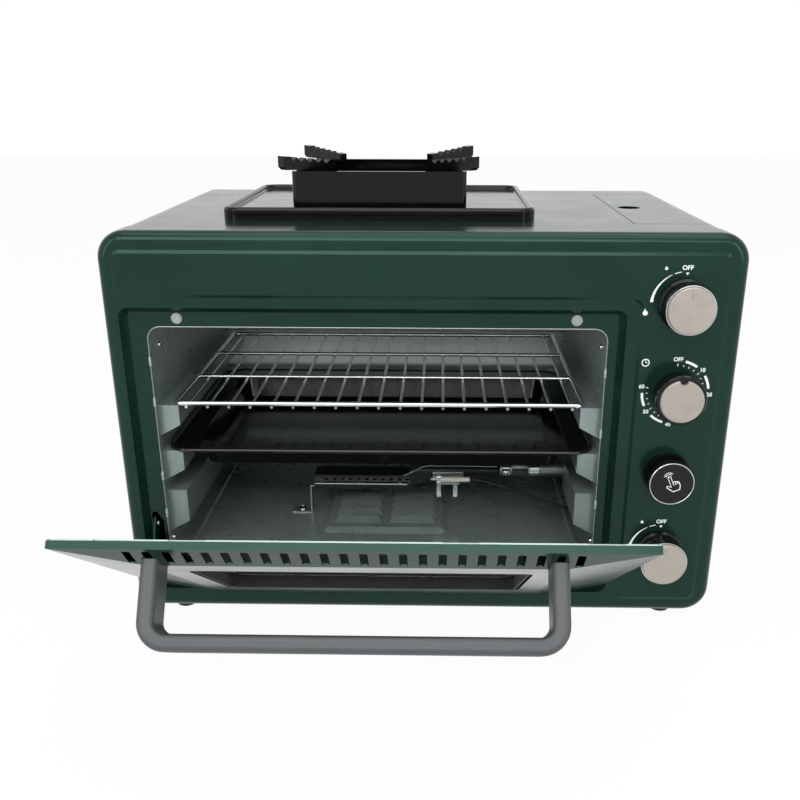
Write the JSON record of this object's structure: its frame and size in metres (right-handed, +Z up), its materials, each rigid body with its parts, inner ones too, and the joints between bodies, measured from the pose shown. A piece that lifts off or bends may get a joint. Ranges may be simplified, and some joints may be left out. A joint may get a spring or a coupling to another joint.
{
  "type": "portable gas camping oven",
  "caption": "Table-top gas oven with a drop-down windowed door, wire rack, baking tray, side controls and a hob burner with a square pan support on top.",
  "frame": {"origin": "middle of the footprint box with the door open, on the floor under the feet", "axes": "+Z up, -Y towards the open door, +X towards the control strip"},
  "size_m": [0.52, 0.5542, 0.399],
  "materials": {
    "green_paint": "gloss dark green enamel on pressed steel",
    "cavity_steel": "plain aluminised sheet",
    "chrome": "bright plated",
    "black_enamel": "gloss black vitreous enamel",
    "grey_plastic": "satin dark grey moulding",
    "black_plastic": "gloss black moulding",
    "cap_metal": "satin anodised disc",
    "window_glass": "tempered clear",
    "rubber": "matt",
    "brass": "machined",
    "copper": "drawn copper tube",
    "ceramic": "glazed white ceramic"
  },
  "bodies": {
    "oven": {"front_panel": "green_paint", "outer_casing": "green_paint", "base_pan": "green_paint", "back_panel": "green_paint", "rubber_feet": "rubber", "cavity_left": "cavity_steel", "cavity_right": "cavity_steel", "cavity_top": "cavity_steel", "cavity_back": "cavity_steel", "cavity_floor": "cavity_steel", "hinge_lugs": "cavity_steel", "door_bumpers": "chrome", "oven_burner": "black_enamel", "venturi_tube": "chrome", "jet_nut": "chrome", "burner_bracket": "cavity_steel", "bracket_screw": "chrome", "electrode_bracket": "chrome", "spark_electrode": "ceramic", "igniter_lead": "black_plastic", "lead_grommet": "black_plastic", "hob_burner": "cap_metal", "hob_cap": "black_enamel", "hob_spark": "ceramic", "lid_hinge": "cavity_steel", "gas_bay": "cavity_steel", "regulator": "chrome", "stove_valve": "brass", "oven_valve": "brass", "timer_works": "cavity_steel", "safety_valve": "brass", "gas_pipes": "copper", "burner_pipes": "copper", "button_collar": "chrome"},
    "door": {"door_shell": "green_paint", "door_inner_frame": "cavity_steel", "door_glass": "window_glass", "door_handle": "grey_plastic", "handle_screws": "chrome", "hinge_pins": "cavity_steel", "door_stay": "cavity_steel"},
    "rack": {"wire_rack": "chrome"},
    "tray": {"bake_tray": "black_enamel"},
    "drip": {"drip_tray": "black_enamel"},
    "pan_support": {"wind_shield": "black_enamel", "pan_arms": "black_enamel"},
    "lid": {"gas_lid": "green_paint"},
    "stove_control": {"stove_knob": "black_plastic", "stove_knob_cap": "cap_metal"},
    "timer_control": {"timer_knob": "black_plastic", "timer_knob_cap": "cap_metal"},
    "oven_control": {"oven_knob": "black_plastic", "oven_knob_cap": "cap_metal"},
    "flame_button": {"safety_button": "black_plastic"}
  },
  "joints": [
    {"name": "door_hinge", "type": "hinge", "parent": "oven", "child": "door", "pos_m": [-0.04025, -0.05088, 0.035], "axis": [1, 0, 0], "range_deg": [-55, 0]},
    {"name": "gas_lid_hinge", "type": "hinge", "parent": "oven", "child": "lid", "pos_m": [0.258, 0.12312, 0.321], "axis": [0, 1, 0], "range_deg": [0, 100]},
    {"name": "stove_knob_turn", "type": "hinge", "parent": "oven", "child": "stove_control", "pos_m": [0.21, -0.05288, 0.2925], "axis": [0, -1, 0], "range_deg": [0, 120]},
    {"name": "timer_knob_turn", "type": "hinge", "parent": "oven", "child": "timer_control", "pos_m": [0.21, -0.05288, 0.2186], "axis": [0, 1, 0], "range_deg": [0, 300]},
    {"name": "oven_knob_turn", "type": "hinge", "parent": "oven", "child": "oven_control", "pos_m": [0.21, -0.05288, 0.0708], "axis": [0, -1, 0], "range_deg": [0, 120]},
    {"name": "flame_button_press", "type": "slide", "parent": "oven", "child": "flame_button", "axis": [0, 1, 0], "range_m": [0, 0.005], "stiffness_N_per_m": 800, "springref_m": -0.002},
    {"name": "rack_slide", "type": "slide", "parent": "oven", "child": "rack", "axis": [0, -1, 0], "range_m": [0, 0.16]},
    {"name": "tray_slide", "type": "slide", "parent": "oven", "child": "tray", "axis": [0, -1, 0], "range_m": [0, 0.15]},
    {"name": "drip_tray_lift", "type": "slide", "parent": "oven", "child": "drip", "axis": [0, 0, 1], "range_m": [0, 0.06]},
    {"name": "pan_support_lift", "type": "slide", "parent": "drip", "child": "pan_support", "axis": [0, 0, 1], "range_m": [0, 0.06]}
  ]
}
